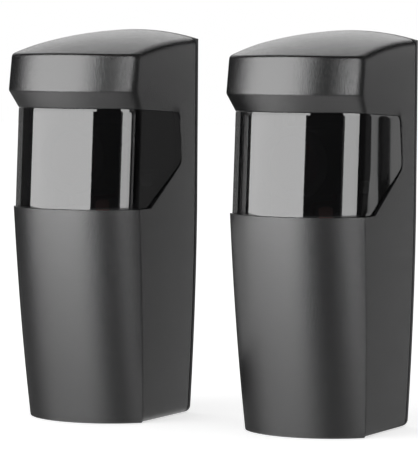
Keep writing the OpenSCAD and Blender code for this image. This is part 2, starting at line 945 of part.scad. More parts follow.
// Terminal block with a screw well and a wire entry for each terminal
module terminal_block(count) {
    width = count * terminal_pitch + 2 * terminal_end;
    color("#1f5f3a") difference() {
        translate([-width / 2, -board_front - terminal_d, terminal_z])
            cube([width, terminal_d, terminal_h]);
        at_terminals(count) {
            forward(0, board_front + terminal_d - terminal_well_d, terminal_z + terminal_h / 2)
                cylinder(r = terminal_well_r + run_gap, h = terminal_well_d + over);
            forward(0, board_front + terminal_d - terminal_hole_d, terminal_z + terminal_h / 2)
                cylinder(r = terminal_hole_r + run_gap, h = terminal_hole_d + over);
            translate([-terminal_entry_w / 2, -board_front - terminal_d / 2, terminal_z - over])
                cube([terminal_entry_w, terminal_entry_h, terminal_h / 2 + over]);
        }
    }
}

module at_terminals(count) {
    for (i = [0 : count - 1])
        translate([(i - (count - 1) / 2) * terminal_pitch, 0, 0]) children();
}

module terminal_screws(count) {
    color("#a5a8ad") at_terminals(count)
        forward(0, board_front + terminal_d - terminal_hole_d, terminal_z + terminal_h / 2)
            difference() {
                union() {
                    cylinder(r = terminal_hole_r, h = terminal_hole_d - terminal_well_d + over);
                    translate([0, 0, terminal_hole_d - terminal_well_d])
                        cylinder(r = terminal_well_r, h = screw_head_h);
                }
                translate([
                    -terminal_well_r - over, -screw_slot_w / 2,
                    terminal_hole_d - terminal_well_d + screw_head_h - screw_slot_h
                ])
                    cube([2 * (terminal_well_r + over), screw_slot_w, screw_slot_h + over]);
            }
}

// Upright can with a crimp near its foot
module capacitor() {
    color("#20242c")
        forward(capacitor_x, board_front, capacitor_z)
            rotate_extrude()
                polygon([
                    [0, 0], [capacitor_r, 0], [capacitor_r, crimp_h],
                    [capacitor_r - crimp_d, crimp_h + crimp_d],
                    [capacitor_r, crimp_h + 2 * crimp_d],
                    [capacitor_r, capacitor_h - crimp_d], [capacitor_r - crimp_d, capacitor_h],
                    [0, capacitor_h]
                ]);
}

// Chip on two rows of legs
module chip() {
    color("#17181a") {
        translate([chip_x - chip_w / 2, -board_front - chip_lift - chip_t, chip_z - chip_h / 2])
            cube([chip_w, chip_t, chip_h]);
        for (i = [0 : legs - 1])
            translate([
                chip_x + (i - (legs - 1) / 2) * leg_pitch - leg_w / 2,
                -board_front - chip_lift - leg_t, chip_z - chip_h / 2 - leg_l
            ])
                cube([leg_w, chip_lift + leg_t, chip_h + 2 * leg_l]);
    }
}

// Relay, its case on a slightly wider foot
module relay() {
    color("#20508c") {
        translate([relay_x - relay_w / 2, -board_front - relay_d, relay_z - relay_h / 2])
            cube([relay_w, relay_d, relay_h]);
        translate([
            relay_x - relay_w / 2 - relay_foot, -board_front - relay_foot,
            relay_z - relay_h / 2 - relay_foot
        ])
            cube([relay_w + 2 * relay_foot, relay_foot, relay_h + 2 * relay_foot]);
    }
}

// Trimmer's body, open in front for its rotor
module trimmer() {
    color("#2450a0") difference() {
        translate([trimmer_x - trimmer_w / 2, -board_front - trimmer_d, trimmer_z - trimmer_w / 2])
            cube([trimmer_w, trimmer_d, trimmer_w]);
        forward(trimmer_x, board_front + trimmer_d - rotor_t, trimmer_z)
            cylinder(r = rotor_r + run_gap, h = rotor_t + over);
    }
}

// Rotor with a cross slot
module trimmer_rotor() {
    color("#e6e2d6") forward(trimmer_x, board_front + trimmer_d - rotor_t, trimmer_z)
        difference() {
            cylinder(r = rotor_r, h = rotor_t);
            for (turn = [0, 90])
                rotate([0, 0, turn])
                    translate([
                        -rotor_r * rotor_slot_share, -rotor_slot_w / 2, rotor_t - rotor_slot_h
                    ])
                        cube([
                            2 * rotor_r * rotor_slot_share, rotor_slot_w, rotor_slot_h + over
                        ]);
        }
}

// Row of square pins in their base
module range_pins() {
    color("#1a1b1d") {
        translate([
            pins_x - pins * pin_pitch / 2, -board_front - pin_base_t, pins_z - pin_pitch / 2
        ])
            cube([pins * pin_pitch, pin_base_t, pin_pitch]);
        for (i = [0 : pins - 1])
            translate([
                pins_x + (i - (pins - 1) / 2) * pin_pitch - pin_w / 2, -board_front - pin_l,
                pins_z - pin_w / 2
            ])
                cube([pin_w, pin_l, pin_w]);
    }
}

// Jumper cap over the first two pins
module range_jumper() {
    near = board_front + pin_base_t + seat_gap;
    color("#c8a020") difference() {
        translate([pins_x - pins * pin_pitch / 2, -near - jumper_h, pins_z - pin_pitch / 2])
            cube([2 * pin_pitch, jumper_h, pin_pitch]);
        for (i = [0, 1])
            translate([
                pins_x + (i - (pins - 1) / 2) * pin_pitch - pin_w / 2 - seat_gap,
                -board_front - pin_l - seat_gap, pins_z - pin_w / 2 - seat_gap
            ])
                cube([pin_w + 2 * seat_gap, pin_l, pin_w + 2 * seat_gap]);
    }
}

// Flat lamp that stands on the deck, seen through the window's foot
module status_led() {
    color("#7d1518", 0.9)
        translate([lamp_reach * sin(lamp_angle), -swivel_y - lamp_reach * cos(lamp_angle), deck_top])
            rotate([0, 0, lamp_angle])
                translate([0, lamp_d / 2, 0]) rotate([90, 0, 0]) linear_extrude(lamp_d) polygon([
                    [-lamp_w / 2, 0], [lamp_w / 2, 0], [lamp_w / 2, lamp_h - lamp_edge],
                    [lamp_w / 2 - lamp_edge, lamp_h], [lamp_edge - lamp_w / 2, lamp_h],
                    [-lamp_w / 2, lamp_h - lamp_edge]
                ]);
}

// Body of the tamper switch
module tamper_switch() {
    depth = plunger_in + plunger_room;
    color("#1b1c1e") difference() {
        translate([tamper_x - tamper_w / 2, -board_front - tamper_d, tamper_z - tamper_w / 2])
            cube([tamper_w, tamper_d, tamper_w]);
        forward(tamper_x, board_front + tamper_d - depth, tamper_z)
            cylinder(r = plunger_r + run_gap, h = depth + over);
    }
}

// Plunger that the cover's post holds in
module tamper_plunger() {
    color("#d8d4c8") forward(tamper_x, board_front + tamper_d - plunger_in, tamper_z)
        cylinder(r = plunger_r, h = plunger_in + plunger_out);
}

transmitter() back_plate();  // tx_back_plate
transmitter() gasket();  // tx_gasket
transmitter() cable_grommet();  // tx_cable_grommet
transmitter() cover();  // tx_cover
transmitter() window();  // tx_window
transmitter() cover_screw();  // tx_cover_screw
transmitter() cover_nut();  // tx_cover_nut
transmitter() optic_bracket();  // tx_optic_bracket
transmitter() bracket_screws();  // tx_bracket_screws
transmitter() turntable();  // tx_turntable
transmitter() turntable_clip();  // tx_turntable_clip
transmitter() barrel();  // tx_barrel
transmitter() lens();  // tx_lens
transmitter() lens_ring();  // tx_lens_ring
transmitter() emitter();  // tx_emitter
transmitter() optic_board();  // tx_optic_board
transmitter() optic_lead();  // tx_optic_lead
transmitter() head_lead();  // tx_head_lead
transmitter() main_board();  // tx_main_board
transmitter() board_screws();  // tx_board_screws
transmitter() terminal_block(tx_terminals);  // tx_terminal_block
transmitter() terminal_screws(tx_terminals);  // tx_terminal_screws
transmitter() capacitor();  // tx_capacitor
transmitter() chip();  // tx_driver_chip
transmitter() range_pins();  // tx_range_pins
transmitter() range_jumper();  // tx_range_jumper
transmitter() status_led();  // tx_status_led
transmitter() tamper_switch();  // tx_tamper_switch
transmitter() tamper_plunger();  // tx_tamper_plunger
receiver() back_plate();  // rx_back_plate
receiver() gasket();  // rx_gasket
receiver() cable_grommet();  // rx_cable_grommet
receiver() cover();  // rx_cover
receiver() window();  // rx_window
receiver() cover_screw();  // rx_cover_screw
receiver() cover_nut();  // rx_cover_nut
receiver() optic_bracket();  // rx_optic_bracket
receiver() bracket_screws();  // rx_bracket_screws
receiver() turntable();  // rx_turntable
receiver() turntable_clip();  // rx_turntable_clip
receiver() barrel();  // rx_barrel
receiver() lens();  // rx_lens
receiver() lens_ring();  // rx_lens_ring
receiver() photodiode();  // rx_photodiode
receiver() optic_board();  // rx_optic_board
receiver() optic_lead();  // rx_optic_lead
receiver() head_lead();  // rx_head_lead
receiver() main_board();  // rx_main_board
receiver() board_screws();  // rx_board_screws
receiver() terminal_block(rx_terminals);  // rx_terminal_block
receiver() terminal_screws(rx_terminals);  // rx_terminal_screws
receiver() capacitor();  // rx_capacitor
receiver() chip();  // rx_signal_chip
receiver() relay();  // rx_relay
receiver() trimmer();  // rx_trimmer
receiver() trimmer_rotor();  // rx_trimmer_rotor
receiver() status_led();  // rx_status_led
receiver() tamper_switch();  // rx_tamper_switch
receiver() tamper_plunger();  // rx_tamper_plunger
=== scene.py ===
import json
import math

import bmesh
import bpy
from mathutils import Matrix, Vector

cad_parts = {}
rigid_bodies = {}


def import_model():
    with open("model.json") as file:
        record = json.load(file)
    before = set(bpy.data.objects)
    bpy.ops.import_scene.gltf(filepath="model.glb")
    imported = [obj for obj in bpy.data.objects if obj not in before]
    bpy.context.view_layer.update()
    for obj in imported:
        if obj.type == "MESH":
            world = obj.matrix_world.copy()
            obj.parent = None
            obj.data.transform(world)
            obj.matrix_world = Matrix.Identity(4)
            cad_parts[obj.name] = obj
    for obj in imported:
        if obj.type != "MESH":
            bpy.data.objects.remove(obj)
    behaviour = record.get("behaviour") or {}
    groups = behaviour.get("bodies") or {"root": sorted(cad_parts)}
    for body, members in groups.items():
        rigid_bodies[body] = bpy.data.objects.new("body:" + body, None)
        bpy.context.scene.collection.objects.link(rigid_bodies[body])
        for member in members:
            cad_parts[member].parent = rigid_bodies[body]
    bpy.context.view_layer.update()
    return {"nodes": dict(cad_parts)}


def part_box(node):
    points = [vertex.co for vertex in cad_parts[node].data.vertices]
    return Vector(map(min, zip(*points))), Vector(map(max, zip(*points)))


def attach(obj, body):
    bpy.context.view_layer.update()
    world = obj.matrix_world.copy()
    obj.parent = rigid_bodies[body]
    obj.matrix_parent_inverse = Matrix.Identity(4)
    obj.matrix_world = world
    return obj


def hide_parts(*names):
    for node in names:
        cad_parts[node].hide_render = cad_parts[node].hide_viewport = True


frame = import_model()
MM = 0.001

# ---- Camera
# A long lens from the right of the pair and a little above it, as the photograph was taken.
# The place and the angles come from a camera fitted to the outlines of both units.
camera_place = Vector((450.8, -909.3, 128.1)) * MM
camera_yaw = 0.458
camera_pitch = 0.062
camera_roll = 0.006
camera_lens = 245.4
camera_sensor = 36

ahead = Vector((
    -math.sin(camera_yaw) * math.cos(camera_pitch),
    math.cos(camera_yaw) * math.cos(camera_pitch),
    -math.sin(camera_pitch),
))
level_right = Vector((math.cos(camera_yaw), math.sin(camera_yaw), 0))
level_up = level_right.cross(ahead)
camera_right = level_right * math.cos(camera_roll) + level_up * math.sin(camera_roll)
camera_up = level_up * math.cos(camera_roll) - level_right * math.sin(camera_roll)
camera_data = bpy.data.cameras.new("camera")
camera_data.sensor_width = camera_sensor
camera_data.lens = camera_lens
camera_data.clip_start = 0.05
camera_data.clip_end = 50
camera = bpy.data.objects.new("camera", camera_data)
camera.matrix_world = Matrix.Translation(camera_place) @ Matrix(
    (camera_right, camera_up, -ahead)
).transposed().to_4x4()
bpy.context.scene.collection.objects.link(camera)
bpy.context.scene.camera = camera

# ---- Covers
# Each unit's cover is one injection moulding in black plastic with a fine spark-eroded
# texture: a bowed front that draws in to the foot, a hooded visor over the window and a
# domed roof. It pulls forward off the wall plate. Both units have the same cover.
plate_low, plate_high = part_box("tx_back_plate")
back_y = plate_high.y
case_top = plate_high.z
unit_x = {
    side: sum(corner.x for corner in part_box(side + "_back_plate")) / 2 for side in ("tx", "rx")
}
case_half = (plate_high.x - plate_low.x) / 2
cover_back = back_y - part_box("tx_cover")[1].y
wall = 2.2 * MM

base_half = 21.3 * MM
draw_in_z = 80 * MM
flank_r = (draw_in_z ** 2 + (case_half - base_half) ** 2) / (2 * (case_half - base_half))
seam_z = 71 * MM
body_depth_seam = 56.3 * MM
body_depth_foot = 45.1 * MM
body_bow_r = 750 * MM
body_nose_r = 27 * MM
body_corner_r = 0.7 * MM
foot_side_r = 2.6 * MM
foot_front_r = 0.7 * MM

window_head_z = 104 * MM
window_depth = 55.9 * MM
window_lean = math.radians(3.5)
window_nose_r = 26.3 * MM
window_corner_r = 7 * MM
window_inset = 0.9 * MM
window_slant_foot = 34 * MM
window_slant_top = 11.2 * MM
window_slant_z = seam_z + 14.6 * MM
window_rear_lean = math.radians(7)
window_edge_soft = 1.6 * MM
window_head_drop = 0.05
window_corner_drop = 1.8 * MM
window_flush_run = 4 * MM

visor_z = 109.5 * MM
visor_depth = 58.8 * MM
visor_lean = math.radians(9.8)
visor_nose_r = 28.4 * MM
visor_corner_r = 7 * MM
visor_drop = 0.155
visor_drop_from = 46 * MM
visor_edge_r = 0.55 * MM
roof_r = 230 * MM
roof_dome_r = 90 * MM
roof_level = 4.2 * MM
roof_edge_front_r = 0.9 * MM
roof_edge_side_r = 2.2 * MM
flank_taper_end = 30 * MM
least_corner_r = 0.3 * MM
inner_edge_share = 0.4

# Columns run round the case from its rear edge, and rows run up it from the foot.
side_steps = 6
side_crowding = 1.3
flank_steps = 10
flank_crowding = 1.6
corner_steps = 8
nose_steps = 20
edge_column = side_steps
columns = side_steps + flank_steps + corner_steps + nose_steps
floor_steps = 5
body_steps = 24
window_steps = 28
slant_steps = 4
visor_steps = 6
roof_steps = 12
edge_steps = 3
row_seam = floor_steps + 1 + edge_steps + body_steps
row_head = row_seam + window_steps

bow_chord = math.hypot(body_depth_seam - body_depth_foot, seam_z)
bow_height = math.sqrt(body_bow_r ** 2 - bow_chord ** 2 / 4)
bow_centre = (body_depth_foot + body_depth_seam) / 2 - bow_height * seam_z / bow_chord
bow_centre_z = seam_z / 2 + bow_height * (body_depth_seam - body_depth_foot) / bow_chord


def flank_at(z):
    """Half width of the case at a height."""
    if z >= draw_in_z:
        return case_half
    return case_half - flank_r + math.sqrt(flank_r ** 2 - (draw_in_z - z) ** 2)


def window_edge_at(z):
    """How far forward of the back the window's rear edge runs at a height."""
    slant = (window_slant_foot - window_slant_top) / (window_slant_z - seam_z)
    low = window_slant_foot - slant * (z - seam_z)
    high = window_slant_top + (z - window_slant_z) * math.tan(window_rear_lean)
    return (low + high + math.hypot(low - high, window_edge_soft)) / 2


def on_plan(column, half, taper, depth, nose_r, corner_r, edge, rear, inset):
    """A place on a level section: half width, and distance forward of the back."""
    half, depth, nose_r = half - inset, depth - inset, nose_r - inset
    nose_half = half - taper
    corner_r = max(corner_r - inset, least_corner_r)
    centre = depth - nose_r
    corner_x = nose_half - corner_r
    corner_y = centre + math.sqrt((nose_r - corner_r) ** 2 - corner_x ** 2)
    meet = math.asin(corner_x / (nose_r - corner_r))
    if column <= side_steps + flank_steps:
        if column <= side_steps:
            forward = rear + (edge - rear) * (column / side_steps) ** side_crowding
        else:
            share = ((column - side_steps) / flank_steps) ** flank_crowding
            forward = edge + (corner_y - edge) * share
        tapered = min(max(forward, 0), flank_taper_end) / flank_taper_end
        return half - taper * tapered, forward
    column -= side_steps + flank_steps
    if column <= corner_steps:
        angle = math.pi / 2 + (meet - math.pi / 2) * column / corner_steps
        return corner_x + corner_r * math.sin(angle), corner_y + corner_r * math.cos(angle)
    angle = meet * (1 - (column - corner_steps) / nose_steps)
    return nose_r * math.sin(angle), centre + nose_r * math.cos(angle)


def on_body(column, z, inset):
    """A place on the lower body."""
    depth = bow_centre + math.sqrt(body_bow_r ** 2 - (z - bow_centre_z) ** 2)
    across, forward = on_plan(
        column, flank_at(z), 0, depth, body_nose_r, body_corner_r,
        window_edge_at(seam_z), cover_back, inset
    )
    return Vector((across, -forward, z))


def on_window(column, z, inset):
    """A place on the window's faces."""
    depth = window_depth - (z - seam_z) * math.tan(window_lean)
    across, forward = on_plan(
        column, case_half, window_inset, depth, window_nose_r, window_corner_r,
        window_edge_at(z), cover_back, inset
    )
    return Vector((across, -forward, z))


def on_visor(column, z, inset):
    """A place on the visor's faces."""
    depth = visor_depth - (z - visor_z) * math.tan(visor_lean)
    across, forward = on_plan(
        column, case_half, 0, depth, visor_nose_r, visor_corner_r,
        window_edge_at(window_head_z), cover_back, inset
    )
    return Vector((across, -forward, z))


def roof_z(across, forward, inset):
    """Height of the domed roof."""
    reach = roof_r - roof_dome_r + math.sqrt((roof_dome_r - inset) ** 2 - across ** 2)
    return case_top - roof_r + math.sqrt(reach ** 2 - (forward + roof_level) ** 2)


def window_head(column):
    """Height of the window's head: level in front, falling a little to the rear, with a
    rounded rear corner."""
    place = on_window(max(column, edge_column), window_head_z, 0)
    forward = -place.y
    z = window_head_z - window_head_drop * max(0, visor_drop_from - forward)
    near = forward - window_edge_at(window_head_z)
    if near < window_corner_drop:
        z -= window_corner_drop - math.sqrt(
            window_corner_drop ** 2 - (window_corner_drop - max(near, 0)) ** 2
        )
    return z


def visor_edge(column):
    """Height of the visor's lower edge."""
    forward = -on_visor(max(column, edge_column), visor_z, 0).y
    return visor_z - visor_drop * max(0, visor_drop_from - forward)


def on_side(column, z, edge, inset):
    """A place on the flat side behind the window."""
    forward = cover_back + (edge - cover_back) * (column / side_steps) ** side_crowding
    return Vector((flank_at(z) - inset, -forward, z))


def profile(column, inset):
    """The places of one column of the cover's skin, from the middle of the foot up over
    the front or the side to the middle of the roof, with its edges rounded."""
    in_front = column > side_steps
    foot_share = min(max((column - side_steps - flank_steps) / corner_steps, 0), 1)
    rounder = 1 if inset == 0 else inner_edge_share
    foot_r = (foot_side_r + (foot_front_r - foot_side_r) * foot_share) * rounder
    roof_edge_r = roof_edge_side_r + (roof_edge_front_r - roof_edge_side_r) * foot_share
    roof_edge_r *= rounder
    edge_r = visor_edge_r * rounder
    floor_z = inset
    head_z = window_head(column)
    visor_low = visor_edge(column)
    head_edge = window_edge_at(window_head_z)
    roof_edge = on_visor(column, case_top, inset)
    for _ in range(4):
        z = roof_z(roof_edge.x, -roof_edge.y, inset)
        roof_edge = on_visor(column, z, inset)
    roof_edge.z = z
    foot = on_body(column, floor_z, inset)

    def middle(place):
        return Vector((0, max(place.y, -flank_taper_end), place.z))

    def floor(v):
        return middle(foot).lerp(foot, v)

    def body(v):
        return on_body(column, floor_z + (seam_z - floor_z) * v, inset)

    def head():
        low = on_window(column, head_z, inset)
        flush = min(max(1 + (low.y + head_edge) / window_flush_run, 0), 1)
        if column <= side_steps + flank_steps:
            low.x += (case_half - inset - low.x) * flush
        return low

    def beside_window(v):
        z = seam_z + (head_z - seam_z) * v
        if in_front:
            return on_body(column, seam_z, inset).lerp(head(), v)
        return on_side(column, z, window_edge_at(z), inset)

    def slant(v):
        if in_front:
            return head().lerp(on_visor(column, visor_low, inset), v)
        return on_side(column, head_z + (visor_low - head_z) * v, head_edge, inset)

    def visor(v):
        return on_visor(column, visor_low + (roof_edge.z - visor_low) * v, inset)

    def roof(v):
        place = roof_edge.lerp(middle(roof_edge), v)
        place.z = roof_z(place.x, -place.y, inset)
        return place

    zones = [
        (floor, floor_steps, 0, foot_r), (body, body_steps, foot_r, 0),
        (beside_window, window_steps, 0, 0), (slant, slant_steps, 0, edge_r),
        (visor, visor_steps, edge_r, roof_edge_r), (roof, roof_steps, roof_edge_r, 0),
    ]
    least_length = 0.01 * MM
    places = []
    for index, (zone, steps, start_r, end_r) in enumerate(zones):
        length = max((zone(1) - zone(0)).length, least_length)
        start = start_r / length
        end = 1 - end_r / length
        if start_r:
            before, corner, after = places[-1], zone(0), zone(start)
            for step in range(1, edge_steps + 1):
                share = step / (edge_steps + 1)
                places.append(
                    before.lerp(corner, share).lerp(corner.lerp(after, share), share)
                )
        first = 1 if index and not start_r else 0
        places += [
            zone(start + (end - start) * step / steps) for step in range(first, steps + 1)
        ]
    return places


def cover_skin(mesh, inset):
    """Half of the cover's skin, open at the back and at the window."""
    profiles = [profile(column, inset) for column in range(columns + 1)]
    rows = len(profiles[0]) - 1
    made = bmesh.ops.create_grid(mesh, x_segments=columns, y_segments=rows, size=1)["verts"]
    at = {}
    for vert in made:
        column = round((vert.co.x + 1) / 2 * columns)
        row = round((vert.co.y + 1) / 2 * rows)
        at[vert] = (column, row)
        vert.co = profiles[column][row]
    skin = [face for face in mesh.faces if face.verts[0] in at]
    for face in skin:
        face.material_index = 0 if inset == 0 else 1
    opening = [
        face for face in skin
        if min(at[vert][0] for vert in face.verts) >= edge_column
        and row_seam <= min(at[vert][1] for vert in face.verts) < row_head
    ]
    bmesh.ops.delete(mesh, geom=opening, context="FACES")


def both_halves(mesh):
    """Adds the left half to a right half and closes the seam between them."""
    same_place = 0.002 * MM
    on_seam = 0.005 * MM
    bmesh.ops.remove_doubles(mesh, verts=mesh.verts, dist=same_place)
    bmesh.ops.mirror(
        mesh, geom=mesh.verts[:] + mesh.edges[:] + mesh.faces[:], axis="X",
        merge_dist=on_seam
    )
    bmesh.ops.remove_doubles(mesh, verts=mesh.verts, dist=same_place)


screw_forward = 11.5 * MM
screw_head_r = 2.8 * MM
screw_head_h = 1.8 * MM
screw_r = 1.5 * MM
head_gap = 0.3 * MM
run_gap = 0.05 * MM
pad_r = 4.5 * MM
pad_web = 1.2 * MM
nut_r = 3.1 * MM
nut_t = 2.4 * MM
post_across = 12.6 * MM
post_z = 47 * MM
post_r = 2.4 * MM
post_end = 15.85 * MM
post_length = 20 * MM
post_sunk = 0.75 * wall
opening_half = 8.6 * MM
opening_front = 21.1 * MM
opening_rear = 5.2 * MM
level_error = 0.01 * MM


def turned(mesh, places, middle_y):
    """A round form: rings of a radius at a height about an upright axis, joined by faces."""
    steps = 48
    turns = [math.tau * step / steps for step in range(steps)]
    rings = [
        [
            mesh.verts.new((radius * math.cos(turn), middle_y + radius * math.sin(turn), z))
            for turn in turns
        ]
        for radius, z in places
    ]
    for low, high in zip(rings, rings[1:]):
        for step in range(steps):
            mesh.faces.new((low[step - 1], low[step], high[step], high[step - 1]))


def add_pad(mesh):
    """Opens the foot for the screw, adds the pad with its counterbore and nut pocket, and
    closes the foot round it."""
    floors = []
    for face in mesh.faces:
        middle = face.calc_center_median()
        within = abs(middle.x) < opening_half and -opening_front < middle.y < -opening_rear
        if within and middle.z < wall + level_error and abs(face.normal.z) > 0.99:
            floors.append(face)
    bmesh.ops.delete(mesh, geom=floors, context="FACES")
    bore = screw_head_r + head_gap
    web_z = screw_head_h + head_gap
    nut_z = web_z + pad_web
    turned(mesh, [
        (bore, 0), (bore, web_z), (screw_r + run_gap, web_z), (screw_r + run_gap, nut_z),
        (nut_r + run_gap, nut_z), (nut_r + run_gap, nut_z + nut_t), (pad_r, nut_z + nut_t),
        (pad_r, wall),
    ], -screw_forward)
    for level in (0, wall):
        rims = [
            edge for edge in mesh.edges
            if edge.is_boundary and all(
                abs(vert.co.z - level) < level_error and vert.co.y < -opening_rear / 2
                for vert in edge.verts
            )
        ]
        bmesh.ops.triangle_fill(mesh, edges=rims, use_beauty=True)


def add_post(mesh):
    """Adds the post that holds the tamper plunger in, from the front wall to the back."""
    middle_y = -post_end - post_length / 2
    post = bmesh.ops.create_cone(
        mesh, cap_ends=True, segments=40, radius1=post_r, radius2=post_r, depth=post_length,
        matrix=Matrix.Translation((post_across, middle_y, post_z))
        @ Matrix.Rotation(math.pi / 2, 4, "X")
    )["verts"]
    for vert in post:
        if vert.co.y < middle_y:
            depth = bow_centre + math.sqrt(body_bow_r ** 2 - (vert.co.z - bow_centre_z) ** 2)
            nose = math.sqrt(body_nose_r ** 2 - vert.co.x ** 2)
            vert.co.y = post_sunk - (depth - body_nose_r + nose)


def close_walls(mesh, bevel):
    """Joins the outer and the inner skin along their open edges, and rounds the outer
    edge of each new wall."""
    open_edges = [edge for edge in mesh.edges if edge.is_boundary]
    at_back = [
        edge for edge in open_edges
        if all(vert.co.y > -cover_back - level_error for vert in edge.verts)
    ]
    at_window = [edge for edge in open_edges if edge not in set(at_back)]
    for loop in (at_back, at_window):
        if loop:
            walls = bmesh.ops.bridge_loops(mesh, edges=loop)["faces"]
            for face in walls:
                face.material_index = 2
    bmesh.ops.recalc_face_normals(mesh, faces=mesh.faces)
    rims = [
        edge for edge in mesh.edges
        if sorted(face.material_index for face in edge.link_faces) == [0, 2]
    ]
    bmesh.ops.bevel(
        mesh, geom=rims, offset=bevel, offset_type="OFFSET", segments=3, profile=0.5,
        affect="EDGES", clamp_overlap=True, material=-1
    )
    bmesh.ops.recalc_face_normals(mesh, faces=mesh.faces)


def shaded(mesh, name, sharp):
    """A new object of a mesh, smooth but for the edges that turn by more than an angle."""
    for face in mesh.faces:
        face.smooth = True
    for edge in mesh.edges:
        if len(edge.link_faces) == 2:
            edge.smooth = edge.calc_face_angle(0) < sharp
    data = bpy.data.meshes.new(name)
    mesh.to_mesh(data)
    mesh.free()
    made = bpy.data.objects.new(name, data)
    bpy.context.scene.collection.objects.link(made)
    return made


def finished(mesh, name, unit, body, replaced):
    """Puts a mesh made in a unit's own place into the frame, as a piece of its own."""
    place = Matrix.Translation((unit_x[unit], back_y, 0))
    bmesh.ops.transform(mesh, matrix=place, verts=mesh.verts)
    for face in mesh.faces:
        face.material_index = 0
    piece = shaded(mesh, name, math.radians(40))
    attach(piece, body)
    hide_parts(replaced)
    return piece


covers = []
for unit in unit_x:
    mesh = bmesh.new()
    cover_skin(mesh, 0)
    cover_skin(mesh, wall)
    both_halves(mesh)
    close_walls(mesh, 0.3 * MM)
    # In a fresh copy the faces that are added next come in the same order each run.
    mesh = mesh.copy()
    add_pad(mesh)
    add_post(mesh)
    bmesh.ops.recalc_face_normals(mesh, faces=mesh.faces)
    cover = finished(
        mesh, unit + "_cover_shell", unit, unit + "_cover_body", unit + "_cover",
    )
    even = cover.modifiers.new("even", "WEIGHTED_NORMAL")
    even.keep_sharp = True
    covers.append(cover)


class Link:
    """One output of a shader node. Sums on it add Math nodes."""

    def __init__(self, tree, socket):
        self.tree = tree
        self.socket = socket

    def node(self, kind, settings=None, inputs=None, out=0):
        """Adds a node with its settings, then its sockets' values or links."""
        made = self.tree.nodes.new(kind)
        for key, value in (settings or {}).items():
            setattr(made, key, value)
        for key, value in (inputs or {}).items():
            if isinstance(value, Link):
                self.tree.links.new(value.socket, made.inputs[key])
            else:
                made.inputs[key].default_value = value
        return Link(self.tree, made.outputs[out])

    def maths(self, operation, *values):
        """A Math node with this value first."""
        return self.node(
            "ShaderNodeMath", {"operation": operation}, dict(enumerate((self, *values)))
        )

    def __add__(self, other):
        return self.maths("ADD", other)

    def __sub__(self, other):
        return self.maths("SUBTRACT", other)

    def __rsub__(self, other):
        return self.maths("MULTIPLY_ADD", -1, other)

    def __mul__(self, other):
        return self.maths("MULTIPLY", other)

    __radd__ = __add__
    __rmul__ = __mul__

    def between(self, low, high):
        """A value that runs from low to high as this one runs from 0 to 1."""
        return self * (high - low) + low

    def tint(self, dark, light):
        """A colour between two, by this value."""
        return self.node(
            "ShaderNodeMix", {"data_type": "RGBA"},
            {"Factor": self, 6: (*dark, 1), 7: (*light, 1)}, out=2
        )

    def relief(self, height):
        """A bumped normal of this value, its full height in metres."""
        return self.node(
            "ShaderNodeBump", {}, {"Height": self, "Distance": height, "Strength": 1}
        )

    def apart(self):
        """The three parts of a place."""
        split = self.node("ShaderNodeSeparateXYZ", {}, {0: self})
        return [Link(self.tree, out) for out in split.socket.node.outputs]

    def above(self, level):
        """1 where this value is over a level, else 0."""
        return self.maths("GREATER_THAN", level)

    def below(self, level):
        """1 where this value is under a level, else 0."""
        return self.maths("LESS_THAN", level)

    def size(self):
        """This value without its sign."""
        return self.maths("ABSOLUTE")

    def mix(self, dark, light):
        """Between two colours that may themselves vary, by this value."""
        return self.node(
            "ShaderNodeMix", {"data_type": "RGBA"},
            {"Factor": self, 6: dark, 7: light}, out=2
        )


def new_finish(name, **sockets):
    """A material with its constants set on the shader: its shader, and the place on the
    piece to pattern it by."""
    material = bpy.data.materials.new(name)
    material.use_nodes = True
    tree = material.node_tree
    shader = tree.nodes["Principled BSDF"]
    for key, value in sockets.items():
        shader.inputs[key.replace("_", " ")].default_value = value
    at = tree.nodes.new("ShaderNodeTexCoord").outputs["Object"]
    return material, shader, Link(tree, at)


def feed(shader, **sockets):
    """Links values that vary over the surface to the shader."""
    for key, value in sockets.items():
        value.tree.links.new(value.socket, shader.inputs[key.replace("_", " ")])


def noise(at, cell, detail=2, rough=0.5):
    """Soft noise with cells of a size in metres."""
    return at.node(
        "ShaderNodeTexNoise", {},
        {"Vector": at, "Scale": 1 / cell, "Detail": detail, "Roughness": rough}
    )


moulded, shader, at = new_finish("moulded_case", IOR=2)
grain = noise(at, 0.45 * MM, 2, 0.6)
patches = noise(at, 22 * MM, 2)
feed(
    shader,
    Base_Color=patches.tint((0.017, 0.0172, 0.018), (0.022, 0.0222, 0.023)),
    Roughness=(grain * 0.5 + patches * 0.5).between(0.18, 0.28),
    Normal=grain.relief(0.13 * MM),
)
for cover in covers:
    cover.data.materials.append(moulded)

# ---- Windows
# Each window is a glossy shell of smoked plastic that lets infrared through. It wraps
# round the front and both sides, is glued into the cover and moves with it.
window_t = 1.6 * MM
window_gap = 0.15 * MM
window_rows = 28


def window_skin(mesh, inset):
    """Half of the window, from its rear edge to the middle of the front."""
    count = columns - edge_column
    made = bmesh.ops.create_grid(mesh, x_segments=count, y_segments=window_rows, size=1)["verts"]
    for vert in made:
        column = edge_column + round((vert.co.x + 1) / 2 * count)
        share = round((vert.co.y + 1) / 2 * window_rows) / window_rows
        low = seam_z + window_gap
        high = window_head(column) - window_gap
        vert.co = on_window(column, low + (high - low) * share, inset)
        if column == edge_column:
            vert.co.y -= window_gap
    for face in {face for vert in made for face in vert.link_faces}:
        face.material_index = 0 if inset == 0 else 1


